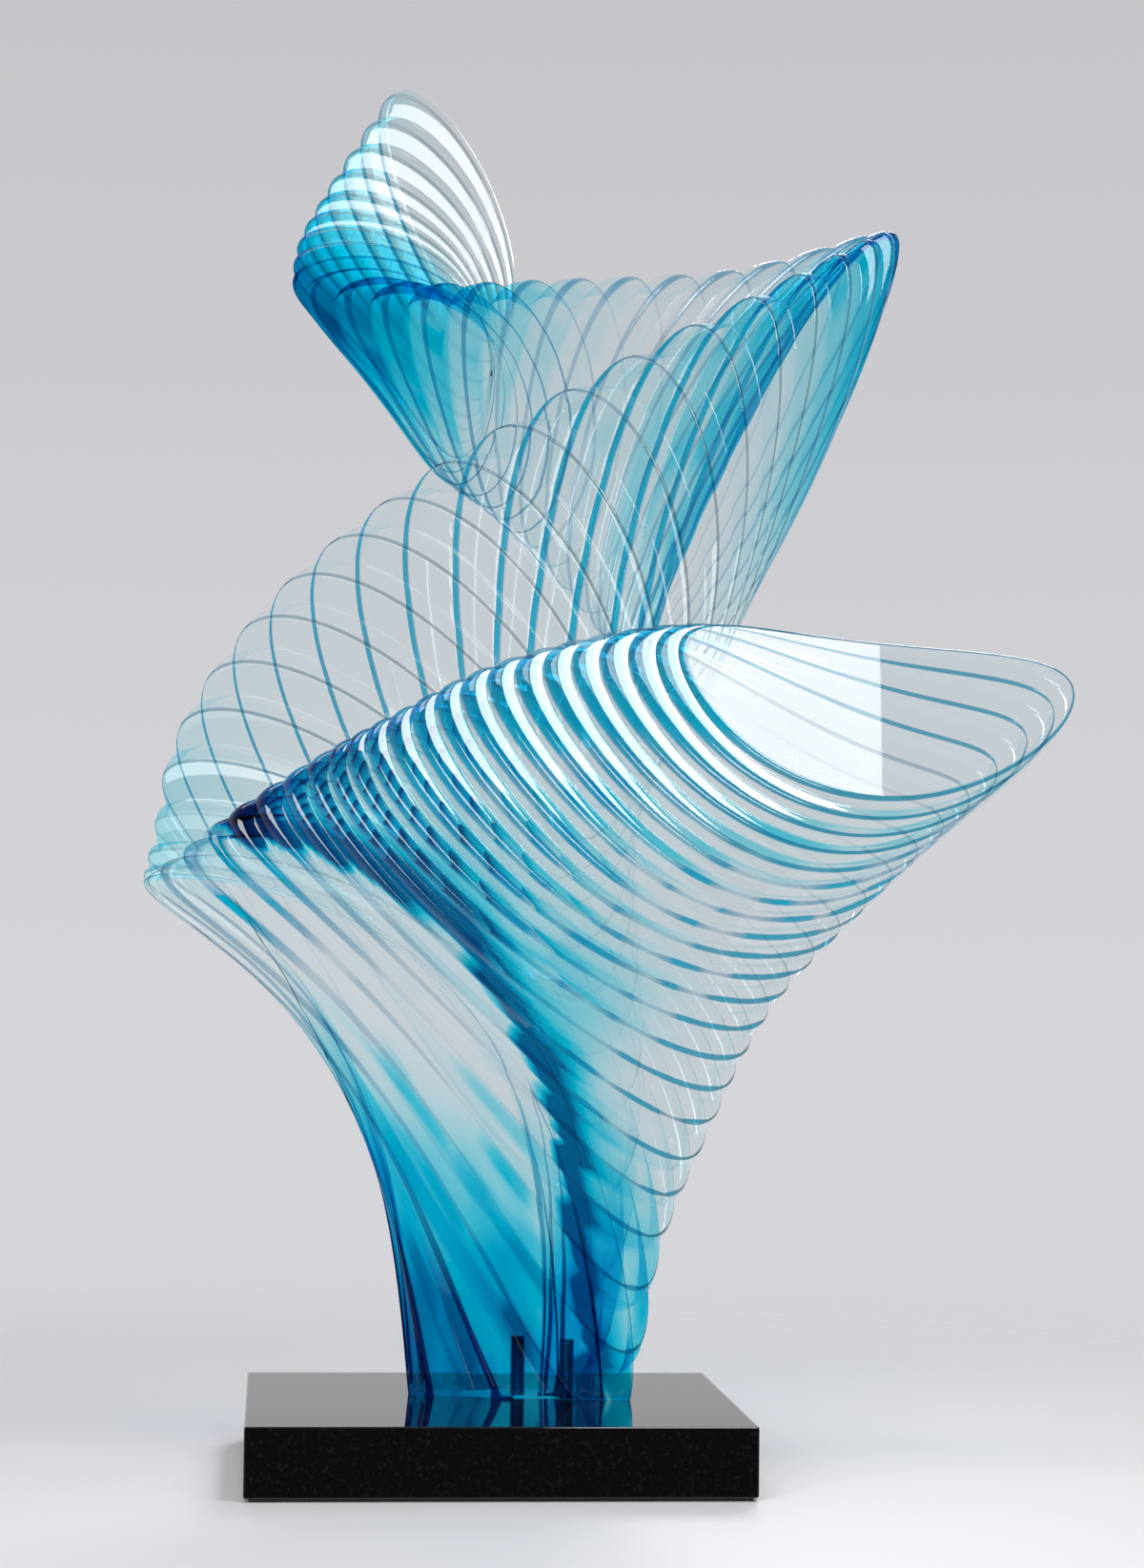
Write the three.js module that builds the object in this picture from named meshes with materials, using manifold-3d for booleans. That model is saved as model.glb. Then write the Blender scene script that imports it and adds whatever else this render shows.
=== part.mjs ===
import * as THREE from 'three';
import { mergeVertices } from 'three/addons/utils/BufferGeometryUtils.js';
import Module from 'manifold-3d';

// Resin abstract sculpture: one folded ribbon of clear and blue resin, ribbed
// across its whole length, standing on a polished black block.
// Millimetres, +Z up, front towards -Y, origin in the middle of the underside.

// Black block and the felt sheet under it
const BLOCK_WIDTH = 290;
const BLOCK_DEPTH = 260;
const BLOCK_HEIGHT = 40;
const BLOCK_CHAMFER = 1.5;
const FELT_THICKNESS = 2;
const FELT_INSET = 3;
const BLOCK_TOP = FELT_THICKNESS + BLOCK_HEIGHT;

// Fixing studs, washers and nuts (M8)
const STUD_DIAMETER = 8;
const STUD_IN_RESIN = 35;
const STUD_BELOW_NUT = 2;
const STUD_CHAMFER = 0.8;
const WASHER_DIAMETER = 20;
const WASHER_THICKNESS = 1.6;
const NUT_ACROSS_FLATS = 13;
const NUT_HEIGHT = 6.5;
const COUNTERBORE_DIAMETER = 26;
const COUNTERBORE_DEPTH = 14;
const FIT_CLEARANCE = 0.3;
const BLOCK_HOLE_CLEARANCE = 0.5;
const ROUND_SEGMENTS = 32;
const CUT_OVERRUN = 1;
const STUD_LEFT_X = 18;
const STUD_LEFT_Y = 18;
const STUD_RIGHT_X = 46;
const STUD_RIGHT_Y = -2;
const STUD_PLACES = { left: [STUD_LEFT_X, STUD_LEFT_Y], right: [STUD_RIGHT_X, STUD_RIGHT_Y] };

// The ribbon's height above the block, in millimetres and in the shares that its
// key outlines are drawn in
const RIBBON_HEIGHT = 839;
const DRAWN_SHARES = 839;

// Ribs: each is a plate of constant outline with a groove between it and the
// next. Sizes along the ribbon are shares of one rib, the others millimetres.
const RIM_SHARE = 0.2;
const HOLD_SHARE = 0.12;
const GROOVE_DEPTH = 1.5;
const NOTCH_SHARE = 0.34;
const NOTCH_LIMIT = 10;
const FACE_INSET = 3;
const RING_SEGMENTS = 26;
const MERGE_DISTANCE = 1e-4;

// Key places along the ribbon, counted in ribs from the free front plate to the
// top one. upper and lower are the ends of the outline there, measured from the
// middle of the block's top, lean tips its lower-left side towards the front
// (degrees), half is its half width, bow bends it in its own plane towards the
// lower left, skew moves that bend upwards.
const KEY_OUTLINES = [
  { rib: 0, upper: [106, -88, 444], lower: [334, -104, 422], lean: 30, half: 54, bow: 32, skew: 0.15 },
  { rib: 1, upper: [95, -84, 446], lower: [324, -100, 409], lean: 30, half: 56, bow: 37, skew: 0 },
  { rib: 4, upper: [49, -74, 444], lower: [276, -88, 359], lean: 30, half: 52, bow: 37, skew: -0.5 },
  { rib: 8, upper: [-15, -63, 429], lower: [217, -75, 299], lean: 28, half: 45, bow: 28, skew: -0.7 },
  { rib: 12, upper: [-71, -52, 401], lower: [159, -64, 234], lean: 25, half: 43, bow: 8, skew: -0.4 },
  { rib: 16, upper: [-117, -36, 375], lower: [122, -46, 157], lean: 18, half: 47, bow: -14, skew: 0 },
  { rib: 19, upper: [-164, -18, 344], lower: [95, -26, 83], lean: 11, half: 48, bow: -40, skew: 0.2 },
  { rib: 22, upper: [-204, 2, 313], lower: [67, -4, -42], lean: 3, half: 47, bow: -64, skew: 0.35 },
  { rib: 24, upper: [-209, 16, 311], lower: [9, 12, -151], lean: -2, half: 48, bow: -91, skew: 0.65 },
  { rib: 26, upper: [-204, 30, 337], lower: [12, 27, -120], lean: -7, half: 52, bow: -92, skew: 0.6 },
  { rib: 28, upper: [-190, 41, 398], lower: [55, 38, -9], lean: -13, half: 68, bow: -45, skew: 0.25 },
  { rib: 31, upper: [-134, 50, 485], lower: [76, 48, 149], lean: -22, half: 71, bow: -18, skew: 0 },
  { rib: 34, upper: [-44, 56, 561], lower: [57, 56, 260], lean: -28, half: 68, bow: -13, skew: 0 },
  { rib: 37, upper: [77, 62, 632], lower: [44, 62, 326], lean: -30, half: 64, bow: -17, skew: 0 },
  { rib: 40, upper: [185, 70, 691], lower: [100, 71, 388], lean: -24, half: 38, bow: 4, skew: 0 },
  { rib: 43, upper: [248, 86, 727], lower: [97, 87, 420], lean: -12, half: 28, bow: -4, skew: 0 },
  { rib: 45, upper: [259, 102, 732], lower: [90, 102, 428], lean: -2, half: 28, bow: 4, skew: 0 },
  { rib: 47, upper: [254, 118, 735], lower: [84, 118, 440], lean: 8, half: 30, bow: 12, skew: 0 },
  { rib: 50, upper: [172, 131, 713], lower: [78, 131, 468], lean: 20, half: 35, bow: 6, skew: 0 },
  { rib: 54, upper: [40, 137, 703], lower: [32, 137, 523], lean: 26, half: 37, bow: -8, skew: 0 },
  { rib: 58, upper: [-76, 146, 699], lower: [4, 146, 560], lean: 19, half: 41, bow: -18, skew: 0 },
  { rib: 60, upper: [-118, 158, 706], lower: [-12, 158, 578], lean: 8, half: 44, bow: -30, skew: 0 },
  { rib: 62, upper: [-122, 171, 728], lower: [-8, 171, 599], lean: -3, half: 36, bow: -28, skew: 0 },
  { rib: 65, upper: [-103, 184, 770], lower: [-2, 184, 628], lean: -14, half: 34, bow: -14, skew: 0 },
  { rib: 69, upper: [-56, 195, 846], lower: [12, 195, 680], lean: -22, half: 31, bow: -2, skew: 0 },
];
const RIB_COUNT = KEY_OUTLINES[KEY_OUTLINES.length - 1].rib;
const SHARE = RIBBON_HEIGHT / DRAWN_SHARES;
const placed = ([x, y, z]) => [x * SHARE, y * SHARE, z * SHARE + BLOCK_TOP];
const CHANNELS = KEY_OUTLINES.map((key) => [
  ...placed(key.upper), ...placed(key.lower), key.lean, key.half * SHARE, key.bow * SHARE, key.skew,
]);

const wasm = await Module();
wasm.setup();

// Slope of one channel at one key place, from its neighbours
function slopeAt(index, channel) {
  const before = Math.max(index - 1, 0);
  const after = Math.min(index + 1, KEY_OUTLINES.length - 1);
  const rate = (from, to) => (CHANNELS[to][channel] - CHANNELS[from][channel])
    / (KEY_OUTLINES[to].rib - KEY_OUTLINES[from].rib);
  if (before === index) return rate(index, after);
  if (after === index) return rate(before, index);
  const gapBefore = KEY_OUTLINES[index].rib - KEY_OUTLINES[before].rib;
  const gapAfter = KEY_OUTLINES[after].rib - KEY_OUTLINES[index].rib;
  return (rate(before, index) * gapAfter + rate(index, after) * gapBefore) / (gapBefore + gapAfter);
}

const SLOPES = CHANNELS.map((row, index) => row.map((value, channel) => slopeAt(index, channel)));

// All channels at any place along the ribbon, smoothly joined through the keys
function channelsAt(place) {
  let index = 0;
  while (index < KEY_OUTLINES.length - 2 && KEY_OUTLINES[index + 1].rib <= place) index += 1;
  const span = KEY_OUTLINES[index + 1].rib - KEY_OUTLINES[index].rib;
  const t = (place - KEY_OUTLINES[index].rib) / span;
  const startWeight = (1 + 2 * t) * (1 - t) ** 2;
  const endWeight = t * t * (3 - 2 * t);
  const startSlope = span * t * (1 - t) ** 2;
  const endSlope = span * t * t * (t - 1);
  return CHANNELS[index].map((value, channel) => value * startWeight
    + CHANNELS[index + 1][channel] * endWeight
    + SLOPES[index][channel] * startSlope
    + SLOPES[index + 1][channel] * endSlope);
}

// The bent oval outline of the ribbon at one place, and the plane it lies in
function outlineAt(place) {
  const values = channelsAt(place);
  const upper = new THREE.Vector3(...values.slice(0, 3));
  const lower = new THREE.Vector3(...values.slice(3, 6));
  const [lean, half, bow, skew] = values.slice(6);
  const axis = lower.clone().sub(upper);
  const reach = axis.length() / 2;
  axis.normalize();
  const front = new THREE.Vector3(0, -1, 0);
  front.addScaledVector(axis, -front.dot(axis)).normalize();
  const side = axis.clone().cross(front);
  const angle = THREE.MathUtils.degToRad(lean);
  const across = side.multiplyScalar(Math.cos(angle)).addScaledVector(front, Math.sin(angle));
  const centre = upper.clone().add(lower).multiplyScalar(0.5);
  const normal = axis.clone().cross(across);
  return { centre, axis, across, normal, reach, half, bow, skew };
}

// A point of an outline; turn 0 is its upper end. The inset shrinks it evenly,
// and the notches draw its upper and lower ends in.
function outlinePoint(outline, turn, inset, notches) {
  const end = Math.cos(turn);
  const drawnIn = end * (end > 0 ? notches.upper : notches.lower);
  const bend = outline.bow * Math.sin(turn) ** 2 * (1 + outline.skew * end);
  const sideways = Math.sin(turn) * (outline.half - inset) + bend;
  return outline.centre.clone()
    .addScaledVector(outline.axis, drawnIn - end * (outline.reach - inset))
    .addScaledVector(outline.across, sideways);
}

// The outline held at one place, laid square onto the plane of another
function layRing(planePlace, heldPlace, inset = 0, notches = { upper: 0, lower: 0 }) {
  const plane = outlineAt(planePlace);
  const held = outlineAt(heldPlace);
  const points = [];
  for (let segment = 0; segment < RING_SEGMENTS; segment += 1) {
    const turn = (segment / RING_SEGMENTS) * 2 * Math.PI;
    const point = outlinePoint(held, turn, inset, notches);
    const height = point.clone().sub(plane.centre).dot(plane.normal);
    points.push(point.addScaledVector(plane.normal, -height));
  }
  return points;
}

// How far the groove before a rib draws in at its two ends
function notchesBefore(rib) {
  const before = channelsAt(rib - 0.5);
  const after = channelsAt(rib + 0.5);
  const step = (from) => Math.hypot(...[0, 1, 2].map((axis) => after[from + axis] - before[from + axis]));
  const notch = (from) => Math.min(NOTCH_SHARE * step(from), NOTCH_LIMIT);
  return { upper: notch(0), lower: notch(3) };
}

function ribbonRings() {
  const rings = [layRing(0, 0.5 - HOLD_SHARE, FACE_INSET)];
  for (let rib = 0; rib < RIB_COUNT; rib += 1) {
    if (rib > 0) rings.push(layRing(rib, rib, GROOVE_DEPTH, notchesBefore(rib)));
    rings.push(layRing(rib + RIM_SHARE, rib + 0.5 - HOLD_SHARE));
    rings.push(layRing(rib + 1 - RIM_SHARE, rib + 0.5 + HOLD_SHARE));
  }
  rings.push(layRing(RIB_COUNT, RIB_COUNT - 0.5 + HOLD_SHARE, FACE_INSET));
  return rings;
}

function middleOf(points) {
  const middle = new THREE.Vector3();
  for (const point of points) middle.add(point);
  return middle.divideScalar(points.length);
}

// Skin over the rings, with a flat face on the first and the last one
function skinOver(rings) {
  const count = RING_SEGMENTS;
  const points = [...rings.flat(), middleOf(rings[0]), middleOf(rings[rings.length - 1])];
  const lastRing = (rings.length - 1) * count;
  const firstMiddle = points.length - 2;
  const lastMiddle = points.length - 1;
  const triangles = [];
  for (let ring = 0; ring < rings.length - 1; ring += 1) {
    for (let segment = 0; segment < count; segment += 1) {
      const here = ring * count + segment;
      const next = ring * count + ((segment + 1) % count);
      triangles.push(here, here + count, next);
      triangles.push(next, here + count, next + count);
    }
  }
  for (let segment = 0; segment < count; segment += 1) {
    const next = (segment + 1) % count;
    triangles.push(firstMiddle, segment, next);
    triangles.push(lastMiddle, lastRing + next, lastRing + segment);
  }
  const geometry = new THREE.BufferGeometry();
  geometry.setAttribute('position', new THREE.Float32BufferAttribute(
    points.flatMap((point) => [point.x, point.y, point.z]), 3));
  geometry.setIndex(triangles);
  return geometry;
}

function solidFrom(geometry) {
  const bare = geometry.clone();
  bare.deleteAttribute('normal');
  bare.deleteAttribute('uv');
  const merged = mergeVertices(bare, MERGE_DISTANCE);
  return new wasm.Manifold(new wasm.Mesh({
    numProp: 3,
    vertProperties: new Float32Array(merged.attributes.position.array),
    triVerts: new Uint32Array(merged.index.array),
  }));
}

function geometryFrom(solid) {
  const mesh = solid.getMesh();
  const geometry = new THREE.BufferGeometry();
  geometry.setAttribute('position', new THREE.BufferAttribute(mesh.vertProperties, 3));
  geometry.setIndex(new THREE.BufferAttribute(mesh.triVerts, 1));
  geometry.computeVertexNormals();
  return geometry;
}

function cutAll(geometry, cutters) {
  let solid = solidFrom(geometry);
  for (const cutter of cutters) solid = solid.subtract(solidFrom(cutter));
  return geometryFrom(solid);
}

// Upright cylinder from one height to another
function uprightCylinder(diameter, bottom, top, [x, y] = [0, 0]) {
  const geometry = new THREE.CylinderGeometry(diameter / 2, diameter / 2, top - bottom, ROUND_SEGMENTS);
  geometry.rotateX(Math.PI / 2);
  geometry.translate(x, y, (bottom + top) / 2);
  return geometry;
}

function namedMesh(name, geometry, look) {
  const mesh = new THREE.Mesh(geometry, new THREE.MeshStandardMaterial(look));
  mesh.name = name;
  return mesh;
}

// Heights of the fixing, from the counterbore ceiling downwards
const CEILING = FELT_THICKNESS + COUNTERBORE_DEPTH;
const NUT_TOP = CEILING - WASHER_THICKNESS;
const NUT_BOTTOM = NUT_TOP - NUT_HEIGHT;
const STUD_BOTTOM = NUT_BOTTOM - STUD_BELOW_NUT;
const STUD_TOP = BLOCK_TOP + STUD_IN_RESIN;

// The ribbon, cut level where it stands on the block, with its stud pockets
function resinBody() {
  const below = new THREE.BoxGeometry(BLOCK_WIDTH, BLOCK_DEPTH, BLOCK_DEPTH);
  below.translate(0, 0, BLOCK_TOP - BLOCK_DEPTH / 2);
  const pockets = Object.values(STUD_PLACES).map((place) => uprightCylinder(
    STUD_DIAMETER + 2 * FIT_CLEARANCE, BLOCK_TOP - CUT_OVERRUN, STUD_TOP, place));
  const geometry = cutAll(skinOver(ribbonRings()), [below, ...pockets]);
  return namedMesh('resin_body', geometry, { color: 0x7fcbe0, roughness: 0.06, metalness: 0 });
}

function baseBlock() {
  const width = BLOCK_WIDTH / 2 - BLOCK_CHAMFER;
  const depth = BLOCK_DEPTH / 2 - BLOCK_CHAMFER;
  const outline = new THREE.Shape();
  outline.moveTo(-width, -depth);
  outline.lineTo(width, -depth);
  outline.lineTo(width, depth);
  outline.lineTo(-width, depth);
  outline.closePath();
  const block = new THREE.ExtrudeGeometry(outline, {
    depth: BLOCK_HEIGHT - 2 * BLOCK_CHAMFER,
    bevelThickness: BLOCK_CHAMFER,
    bevelSize: BLOCK_CHAMFER,
    bevelSegments: 1,
  });
  block.translate(0, 0, FELT_THICKNESS + BLOCK_CHAMFER);
  const cutters = Object.values(STUD_PLACES).flatMap((place) => [
    uprightCylinder(STUD_DIAMETER + 2 * BLOCK_HOLE_CLEARANCE, 0, BLOCK_TOP + CUT_OVERRUN, place),
    uprightCylinder(COUNTERBORE_DIAMETER, 0, CEILING, place),
  ]);
  return namedMesh('base_block', cutAll(block, cutters), { color: 0x060607, roughness: 0.05, metalness: 0 });
}

function feltPad() {
  const width = BLOCK_WIDTH - 2 * FELT_INSET;
  const depth = BLOCK_DEPTH - 2 * FELT_INSET;
  const sheet = new THREE.BoxGeometry(width, depth, FELT_THICKNESS);
  sheet.translate(0, 0, FELT_THICKNESS / 2);
  return namedMesh('felt_pad', sheet, { color: 0x141416, roughness: 1, metalness: 0 });
}

// Stud with a small chamfer on both ends
function studGeometry() {
  const radius = STUD_DIAMETER / 2;
  const profile = [
    [0, STUD_BOTTOM],
    [radius - STUD_CHAMFER, STUD_BOTTOM],
    [radius, STUD_BOTTOM + STUD_CHAMFER],
    [radius, STUD_TOP - STUD_CHAMFER],
    [radius - STUD_CHAMFER, STUD_TOP],
    [0, STUD_TOP],
  ];
  const geometry = new THREE.LatheGeometry(profile.map(([r, z]) => new THREE.Vector2(r, z)), ROUND_SEGMENTS);
  geometry.rotateX(Math.PI / 2);
  return geometry;
}

// Clearance hole for a stud through a piece that lies between two heights
function studHole(bottom, top) {
  return uprightCylinder(STUD_DIAMETER + 2 * FIT_CLEARANCE, bottom - CUT_OVERRUN, top + CUT_OVERRUN);
}

function washerGeometry() {
  return cutAll(uprightCylinder(WASHER_DIAMETER, NUT_TOP, CEILING), [studHole(NUT_TOP, CEILING)]);
}

function nutGeometry() {
  const cornerRadius = NUT_ACROSS_FLATS / Math.sqrt(3);
  const hexagon = new THREE.CylinderGeometry(cornerRadius, cornerRadius, NUT_HEIGHT, 6);
  hexagon.rotateX(Math.PI / 2);
  hexagon.translate(0, 0, (NUT_TOP + NUT_BOTTOM) / 2);
  return cutAll(hexagon, [studHole(NUT_BOTTOM, NUT_TOP)]);
}

// One stud with its washer and nut
function fixing(side, [x, y]) {
  const steel = { color: 0x8d9196, roughness: 0.35, metalness: 1 };
  const set = new THREE.Group();
  set.add(namedMesh(`stud_${side}`, studGeometry(), steel));
  set.add(namedMesh(`washer_${side}`, washerGeometry(), steel));
  set.add(namedMesh(`nut_${side}`, nutGeometry(), steel));
  set.position.set(x, y, 0);
  return set;
}

const group = new THREE.Group();
group.add(resinBody(), baseBlock(), feltPad());
for (const [side, place] of Object.entries(STUD_PLACES)) group.add(fixing(side, place));

export default group;
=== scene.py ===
"""Looks of the resin abstract sculpture: a folded, ribbed ribbon of clear and blue
resin on a polished black block. Metres, +Z up, front towards -Y."""
import math
from types import SimpleNamespace

import bmesh
import bpy
import numpy as np
from mathutils import Matrix, Vector
from mathutils.kdtree import KDTree


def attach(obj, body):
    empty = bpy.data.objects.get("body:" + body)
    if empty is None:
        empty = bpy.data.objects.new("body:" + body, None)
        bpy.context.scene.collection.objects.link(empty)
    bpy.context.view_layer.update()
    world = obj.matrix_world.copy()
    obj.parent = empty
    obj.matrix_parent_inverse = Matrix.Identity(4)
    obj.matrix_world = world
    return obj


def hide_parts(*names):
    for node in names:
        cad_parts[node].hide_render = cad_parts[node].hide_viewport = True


MM = 0.001

# Camera at the photograph's viewing angle
CAMERA_PLACE = Vector((-132.8, -2085.9, 301.3)) * MM
YAW, PITCH, ROLL = (math.radians(a) for a in (4.888, 2.986, 0.639))
LENS, SENSOR = 79.58, 36

# The floor and where it fades out, in metres from its middle
FLOOR_RADIUS, FLOOR_FADE = 1.6, (0.25, 1.3)

# Sizes shared with the solids, in millimetres
BLOCK_WIDTH, BLOCK_DEPTH, BLOCK_HEIGHT = 290, 260, 40
FELT_THICKNESS = 2
BLOCK_TOP = FELT_THICKNESS + BLOCK_HEIGHT
UNDERSIDE = BLOCK_TOP + 0.05  # the foot's lower face, just clear of the block
STUDS = {"left": (18, 18), "right": (46, -2)}
STUD_DIAMETER, STUD_TOP, STUD_BOTTOM = 8, BLOCK_TOP + 35, 5.9
THREAD_PITCH, THREAD_DEPTH, STUD_CHAMFER = 1.25, 0.55, 0.8
HOLE_RADIUS, COUNTERBORE_RADIUS, COUNTERBORE_DEPTH = 4.5, 13, 14
BLOCK_CHAMFER = 1.5

# Key outlines of the ribbon, measured from the middle of the block's top:
# rib, upper end, lower end, lean, half width, bow, skew
KEYS = [
    (0, (106, -88, 444), (334, -104, 422), 30, 54, 32, 0.15),
    (1, (95, -84, 446), (324, -100, 409), 30, 56, 37, 0),
    (4, (49, -74, 444), (276, -88, 359), 30, 52, 37, -0.5),
    (8, (-15, -63, 429), (217, -75, 299), 28, 45, 28, -0.7),
    (12, (-71, -52, 401), (159, -64, 234), 25, 43, 8, -0.4),
    (16, (-117, -36, 375), (122, -46, 157), 18, 47, -14, 0),
    (19, (-164, -18, 344), (95, -26, 83), 11, 48, -40, 0.2),
    (22, (-204, 2, 313), (67, -4, -42), 3, 47, -64, 0.35),
    (24, (-209, 16, 311), (9, 12, -151), -2, 48, -91, 0.65),
    (26, (-204, 30, 337), (12, 27, -120), -7, 52, -92, 0.6),
    (28, (-190, 41, 398), (55, 38, -9), -13, 68, -45, 0.25),
    (31, (-134, 50, 485), (76, 48, 149), -22, 71, -18, 0),
    (34, (-44, 56, 561), (57, 56, 260), -28, 68, -13, 0),
    (37, (77, 62, 632), (44, 62, 326), -30, 64, -17, 0),
    (40, (185, 70, 691), (100, 71, 388), -24, 38, 4, 0),
    (43, (248, 86, 727), (97, 87, 420), -12, 28, -4, 0),
    (45, (259, 102, 732), (90, 102, 428), -2, 28, 4, 0),
    (47, (254, 118, 735), (84, 118, 440), 8, 30, 12, 0),
    (50, (172, 131, 713), (78, 131, 468), 20, 35, 6, 0),
    (54, (40, 137, 703), (32, 137, 523), 26, 37, -8, 0),
    (58, (-76, 146, 699), (4, 146, 560), 19, 41, -18, 0),
    (60, (-118, 158, 706), (-12, 158, 578), 8, 44, -30, 0),
    (62, (-122, 171, 728), (-8, 171, 599), -3, 36, -28, 0),
    (65, (-103, 184, 770), (-2, 184, 628), -14, 34, -14, 0),
    (69, (-56, 195, 846), (12, 195, 680), -22, 31, -2, 0),
]
RIB_COUNT = KEYS[-1][0]
RING_SEGMENTS = 96
RIM_SHARE, HOLD_SHARE = 0.005, 0.12
GROOVE_DEPTH, FACE_INSET = 1.5, 3
SHALLOW_RIBS, SHALLOW_DEPTH = range(61, 68), 0.4  # where the last arm's plates lie edge-on
NOTCH_SHARE, NOTCH_LIMIT = 0.34, 10
GROOVE_RADIUS, EDGE_RADIUS, RIDGE_RADIUS = 0.4, 2.5, 7.0
GROOVE_MOST, EDGE_MOST = 0.3, 0.45  # the most of a face that a rounding may take
# How much of the wide groove band each ring over a rib carries
BAND_PROFILE = [1, 0.9, 0.8, 0.5, 0.1, 0, 0, 0.25, 0.7, 1]
RIB_RINGS = len(BAND_PROFILE)
FRONT_EDGE, BACK_EDGE = 2.5, 6.5  # the middles of the two rounded edges, counted in rings
CORNER_STEPS = (0, 0.35, 0.65, 1)
FAR = -100.0  # travel of the rings in a groove and on the flat ends, away from any edge
POCKET_RADIUS = STUD_DIAMETER / 2 + 0.3

# The ribs over which each arm of the ribbon gives way to the next
FRONT_END, STEM_END, MIDDLE_END, BACK_END = (20, 22), (26, 28), (44, 46), (57, 59)
SMALL_FOLD_END = (60.5, 61.5)

# Cuts: how far down the cutter reaches, and how close counts as the same place or plane
BELOW_ALL, SAME_PLACE, FLAT_WITHIN = -200, 0.001, 0.01

# Values on the ribbon's vertices, and what they are inside the dark stud pockets
POCKET_VALUES = {"pigment_and_painted_shade": 0.9, "edge_gap": 100.0, "line": 0.0, "tone": 1.0, "shine": 0.2,
                 "row_share": 0.0, "row_across": 0.0}

KEY_PLACES = np.array([key[0] for key in KEYS], float)
CHANNELS = np.array([[*key[1], *key[2], *key[3:]] for key in KEYS], float)
CHANNELS[:, [2, 5]] += BLOCK_TOP


def key_slopes():
    """Slope of every channel at every key place, from its neighbours."""
    rates = np.diff(CHANNELS, axis=0) / np.diff(KEY_PLACES)[:, None]
    gaps = np.diff(KEY_PLACES)[:, None]
    slopes = np.empty_like(CHANNELS)
    slopes[0], slopes[-1] = rates[0], rates[-1]
    slopes[1:-1] = (rates[:-1] * gaps[1:] + rates[1:] * gaps[:-1]) / (gaps[:-1] + gaps[1:])
    return slopes


SLOPES = key_slopes()


def channels_at(place):
    """All channels at any place along the ribbon, smoothly joined through the keys."""
    index = min(max(int(np.searchsorted(KEY_PLACES, place, "right")) - 1, 0), len(KEYS) - 2)
    span = KEY_PLACES[index + 1] - KEY_PLACES[index]
    t = (place - KEY_PLACES[index]) / span
    return (CHANNELS[index] * (1 + 2 * t) * (1 - t) ** 2
            + CHANNELS[index + 1] * t * t * (3 - 2 * t)
            + SLOPES[index] * span * t * (1 - t) ** 2
            + SLOPES[index + 1] * span * t * t * (t - 1))


def unit(vector):
    """The vector at length 1."""
    return vector / np.linalg.norm(vector)


def outline_at(place):
    """Centre, axis, across, normal, reach, half, bow and skew of the outline at one place."""
    values = channels_at(place)
    upper, lower = values[:3], values[3:6]
    lean, half, bow, skew = values[6:]
    axis = unit(lower - upper)
    reach = np.linalg.norm(lower - upper) / 2
    front = np.array([0.0, -1.0, 0.0])
    front = unit(front - axis * front.dot(axis))
    side = np.cross(axis, front)
    angle = math.radians(lean)
    across = side * math.cos(angle) + front * math.sin(angle)
    return (upper + lower) / 2, axis, across, np.cross(axis, across), reach, half, bow, skew


TURNS = np.arange(RING_SEGMENTS) / RING_SEGMENTS * 2 * math.pi


def lay_ring(plane_place, held_place, inset=0.0, notches=(0.0, 0.0)):
    """The outline held at one place, laid square onto the plane of another."""
    centre, axis, across, _, reach, half, bow, skew = outline_at(held_place)
    plane_centre, _, _, normal, *_ = outline_at(plane_place)
    end = np.cos(TURNS)
    drawn_in = end * np.where(end > 0, notches[0], notches[1])
    along = drawn_in - end * (reach - inset)
    sideways = np.sin(TURNS) * (half - inset) + bow * np.sin(TURNS) ** 2 * (1 + skew * end)
    points = centre + along[:, None] * axis + sideways[:, None] * across
    return points - ((points - plane_centre) @ normal)[:, None] * normal


def notches_before(rib):
    """How far the groove before a rib draws in its two ends."""
    before, after = channels_at(rib - 0.5), channels_at(rib + 0.5)
    steps = [np.linalg.norm(after[k:k + 3] - before[k:k + 3]) for k in (0, 3)]
    return [min(NOTCH_SHARE * step, NOTCH_LIMIT) for step in steps]


def groove_ring(rib):
    """The ring in the groove before a rib, or round a flat end face."""
    if rib in (0, RIB_COUNT):
        held = 0.5 - HOLD_SHARE if rib == 0 else RIB_COUNT - 0.5 + HOLD_SHARE
        return lay_ring(rib, held, FACE_INSET)
    depth = SHALLOW_DEPTH if rib in SHALLOW_RIBS else GROOVE_DEPTH
    return lay_ring(rib, rib, depth, notches_before(rib))


def smooth(low, high, values):
    """Rises softly from 0 at the low value to 1 at the high one."""
    t = np.clip((values - low) / (high - low), 0, 1)
    return t * t * (3 - 2 * t)


def bell(distance, spread):
    """1 at no distance, fading softly to 0."""
    return np.exp(-(distance / spread) ** 2)


def turned(degrees, centre):
    """Signed distance round the outline, in degrees."""
    return (degrees - centre + 180) % 360 - 180


def stepped(start, end, distance, most):
    """Points that far from start towards end, but no more than a share of the way."""
    gap = end - start
    length = np.linalg.norm(gap, axis=1)
    return start + gap * np.minimum(distance / length, most)[:, None]


def rounded(before, corner, after, radius):
    """Four rings that round a corner between two others."""
    first = stepped(corner, before, radius, EDGE_MOST)
    last = stepped(corner, after, radius, EDGE_MOST)
    return [first * (1 - t) ** 2 + corner * 2 * t * (1 - t) + last * t * t for t in CORNER_STEPS]


def front_arm_ridge(place, degrees):
    """How much a point belongs to the upper left edge of the front arm."""
    return (1 - smooth(*FRONT_END, place)) * bell(turned(degrees, 15), 50)


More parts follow.
